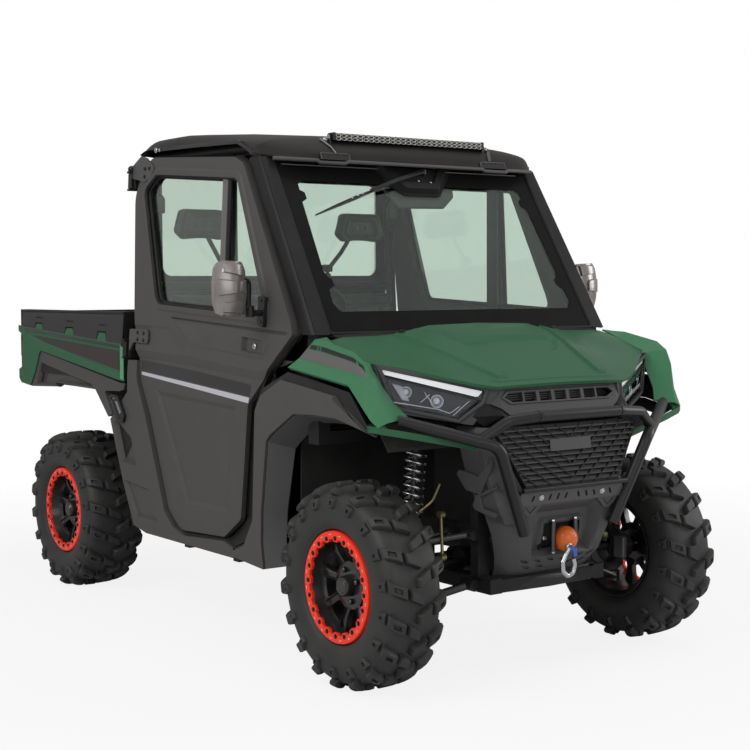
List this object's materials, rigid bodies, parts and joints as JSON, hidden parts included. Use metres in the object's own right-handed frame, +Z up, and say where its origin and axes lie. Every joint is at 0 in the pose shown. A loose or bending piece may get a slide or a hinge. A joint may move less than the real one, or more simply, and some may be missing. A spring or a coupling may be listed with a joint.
{
  "type": "side by side utility vehicle",
  "caption": "Two-seat side by side utility vehicle with closed cab, tipping cargo bed, tube front guard with mesh grille, winch, and steered front wheels.",
  "frame": {"origin": "on the ground, midway along, across and under the whole vehicle", "axes": "+Z up, the nose points to -Y, +X is the vehicle's left side"},
  "size_m": [1.8, 3.1195, 1.925],
  "materials": {
    "tyre": "matt black tyre rubber",
    "wheel_black": "satin black with an orange-red ring",
    "frame_black": "satin black powder coat",
    "spring_steel": "bright springs",
    "engine_grey": "dull cast",
    "moulded_black": "textured moulded black",
    "moulded_grey": "textured dark grey",
    "body_green": "glossy dark green",
    "seat_vinyl": "black vinyl",
    "belt_webbing": "woven black webbing",
    "glass": "green tinted",
    "steering_rubber": "grained black",
    "lamp_lens": "clear lamp over black",
    "lamp_red": "red lens",
    "light_bar_metal": "black case with clear lamps",
    "winch_steel": "bright steel"
  },
  "bodies": {
    "chassis": {"arch_liners": "moulded_black", "bull_bar": "frame_black", "cab_frame": "frame_black", "dashboard": "moulded_black", "engine_block": "engine_grey", "fender_flares": "moulded_grey", "floor_pan": "moulded_black", "front_arms": "frame_black", "front_bumper": "moulded_black", "front_fenders": "body_green", "front_gearcase": "engine_grey", "half_shafts": "frame_black", "headlights": "lamp_lens", "headrests": "moulded_black", "light_bar": "light_bar_metal", "main_frame": "frame_black", "mesh_grille": "moulded_black", "rear_arms": "frame_black", "rear_wall": "moulded_black", "rear_window": "glass", "roof": "moulded_black", "seat_backs": "seat_vinyl", "seat_belts": "belt_webbing", "seat_cushions": "seat_vinyl", "seat_pedestal": "moulded_black", "shocks": "spring_steel", "side_sills": "moulded_grey", "steering_column": "moulded_black", "steering_gear": "frame_black", "upper_grille": "moulded_black", "winch": "winch_steel", "windshield": "glass", "wiper": "moulded_black"},
    "left_knuckle": {"left_knuckle": "frame_black"},
    "right_knuckle": {"right_knuckle": "frame_black"},
    "front_left_wheel": {"front_left_tyre": "tyre", "front_left_rim": "wheel_black"},
    "front_right_wheel": {"front_right_tyre": "tyre", "front_right_rim": "wheel_black"},
    "rear_left_wheel": {"rear_left_tyre": "tyre", "rear_left_rim": "wheel_black"},
    "rear_right_wheel": {"rear_right_tyre": "tyre", "rear_right_rim": "wheel_black"},
    "left_door": {"left_door": "moulded_grey", "left_door_glass": "glass", "left_mirror": "moulded_black"},
    "right_door": {"right_door": "moulded_grey", "right_door_glass": "glass", "right_mirror": "moulded_black"},
    "hood": {"hood": "body_green"},
    "cargo_bed": {"cargo_tub": "moulded_black", "bed_sides": "body_green", "bed_lower_sides": "moulded_grey", "tail_lights": "lamp_red"},
    "tailgate": {"tailgate": "moulded_black"},
    "steering_wheel": {"steering_wheel": "steering_rubber"},
    "tie_rods": {"tie_rods": "frame_black"}
  },
  "joints": [
    {"name": "left_steer", "type": "hinge", "parent": "chassis", "child": "left_knuckle", "pos_m": [0.548, -1.1515, 0.345], "axis": [0, 0, 1], "range_deg": [-28, 28]},
    {"name": "right_steer", "type": "hinge", "parent": "chassis", "child": "right_knuckle", "pos_m": [-0.548, -1.1515, 0.345], "axis": [0, 0, 1], "range_deg": [-28, 28]},
    {"name": "steering_wheel_turn", "type": "hinge", "parent": "chassis", "child": "steering_wheel", "pos_m": [-0.325, -0.3615, 1.19], "axis": [0, 0.8, 0.6], "range_deg": [-260, 260]},
    {"name": "rack_slide", "type": "slide", "parent": "chassis", "child": "tie_rods", "axis": [-1, 0, 0], "range_m": [-0.058, 0.058]},
    {"name": "front_left_roll", "type": "hinge", "parent": "left_knuckle", "child": "front_left_wheel", "pos_m": [0.625, -1.1515, 0.345], "axis": [1, 0, 0], "continuous": true},
    {"name": "front_right_roll", "type": "hinge", "parent": "right_knuckle", "child": "front_right_wheel", "pos_m": [-0.625, -1.1515, 0.345], "axis": [1, 0, 0], "continuous": true},
    {"name": "rear_left_roll", "type": "hinge", "parent": "chassis", "child": "rear_left_wheel", "pos_m": [0.616, 0.9985, 0.345], "axis": [1, 0, 0], "continuous": true},
    {"name": "rear_right_roll", "type": "hinge", "parent": "chassis", "child": "rear_right_wheel", "pos_m": [-0.616, 0.9985, 0.345], "axis": [1, 0, 0], "continuous": true},
    {"name": "left_door_hinge", "type": "hinge", "parent": "chassis", "child": "left_door", "pos_m": [0.702, 0.4045, 1.078], "axis": [-0.0526, 0, 0.9986], "range_deg": [0, 70]},
    {"name": "right_door_hinge", "type": "hinge", "parent": "chassis", "child": "right_door", "pos_m": [-0.702, 0.4045, 1.078], "axis": [-0.0526, 0, -0.9986], "range_deg": [0, 70]},
    {"name": "hood_hinge", "type": "hinge", "parent": "chassis", "child": "hood", "pos_m": [0, -0.9615, 1.14], "axis": [-1, 0, 0], "range_deg": [0, 50]},
    {"name": "bed_tilt", "type": "hinge", "parent": "chassis", "child": "cargo_bed", "pos_m": [0, 1.2985, 0.87], "axis": [-1, 0, 0], "range_deg": [0, 40]},
    {"name": "tailgate_hinge", "type": "hinge", "parent": "cargo_bed", "child": "tailgate", "pos_m": [0, 1.552, 0.944], "axis": [-1, 0, 0], "range_deg": [0, 90]}
  ],
  "couplings": [
    {"joint": "right_steer", "follows": "left_steer", "ratio": 1},
    {"joint": "steering_wheel_turn", "follows": "left_steer", "ratio": 9},
    {"joint": "rack_slide", "follows": "left_steer", "m_per_rad": 0.1105}
  ]
}
